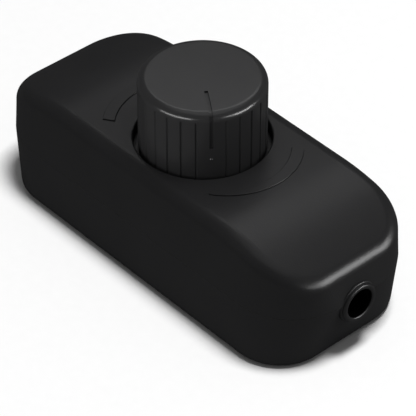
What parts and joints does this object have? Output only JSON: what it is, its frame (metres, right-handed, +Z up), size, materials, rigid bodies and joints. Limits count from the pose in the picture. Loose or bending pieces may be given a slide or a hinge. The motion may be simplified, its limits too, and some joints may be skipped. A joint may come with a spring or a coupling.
{
  "type": "inline dimmer switch",
  "caption": "Black moulded inline rotary dimmer for a lamp cord: long two-shell case, fluted round knob in a well, crescent wedges and a cable bush at each end.",
  "frame": {"origin": "middle of the case at the surface that it stands on", "axes": "+X along the case to one cable entry, +Y across it, +Z up to the knob"},
  "size_m": [0.1014, 0.0414, 0.0457],
  "materials": {
    "case_black": "satin moulded plastic",
    "knob_black": "satin moulded plastic",
    "bush_black": "smooth moulded plastic",
    "clamp_white": "satin nylon",
    "zinc_steel": "zinc plated",
    "spring_steel": "spring steel",
    "brass": "nickel-free turned brass",
    "shaft_aluminium": "turned",
    "tin": "tinned",
    "rotor_plastic": "moulded",
    "phenolic_brown": "phenolic paper",
    "board_green": "lacquered",
    "epoxy_black": "moulded epoxy",
    "ferrite": "sintered ferrite",
    "copper_wire": "lacquered copper",
    "capacitor_yellow": "boxed film",
    "capacitor_red": "boxed film",
    "resistor_tan": "lacquered",
    "diac_blue": "lacquered glass",
    "fuse_glass": "clear",
    "nickel": "nickel plated",
    "sink_aluminium": "sheet",
    "block_grey": "moulded"
  },
  "bodies": {
    "case": {"upper_shell": "case_black", "lower_shell": "case_black", "case_screws": "zinc_steel", "cable_bush_right": "bush_black", "cable_bush_left": "bush_black", "cord_clamp_right": "clamp_white", "cord_clamp_left": "clamp_white", "clamp_screws": "zinc_steel", "pot_bushing": "brass", "pot_track": "phenolic_brown", "pot_terminals": "tin", "pot_can": "zinc_steel", "pot_nut": "zinc_steel", "pot_washer": "zinc_steel", "circuit_board": "board_green", "triac_package": "epoxy_black", "triac_frame": "tin", "heat_sink": "sink_aluminium", "triac_screw": "zinc_steel", "triac_nut": "zinc_steel", "choke_core": "ferrite", "choke_winding": "copper_wire", "suppressor_capacitor": "capacitor_yellow", "timing_capacitor": "capacitor_red", "timing_resistor": "resistor_tan", "limit_resistor": "resistor_tan", "diac": "diac_blue", "fuse_tube": "fuse_glass", "fuse_caps": "nickel", "fuse_clips": "tin", "terminal_block_right": "block_grey", "terminal_block_left": "block_grey", "terminal_cages": "brass", "terminal_screws": "zinc_steel"},
    "knob": {"knob": "knob_black", "knob_spring": "spring_steel", "pot_shaft": "shaft_aluminium", "pot_ring": "spring_steel", "pot_rotor": "rotor_plastic", "pot_wiper": "brass"}
  },
  "joints": [
    {"name": "knob_turn", "type": "hinge", "parent": "case", "child": "knob", "pos_m": [0.0004, 0, 0.0295], "axis": [0, 0, 1], "range_deg": [-25.8, 274.2]}
  ]
}
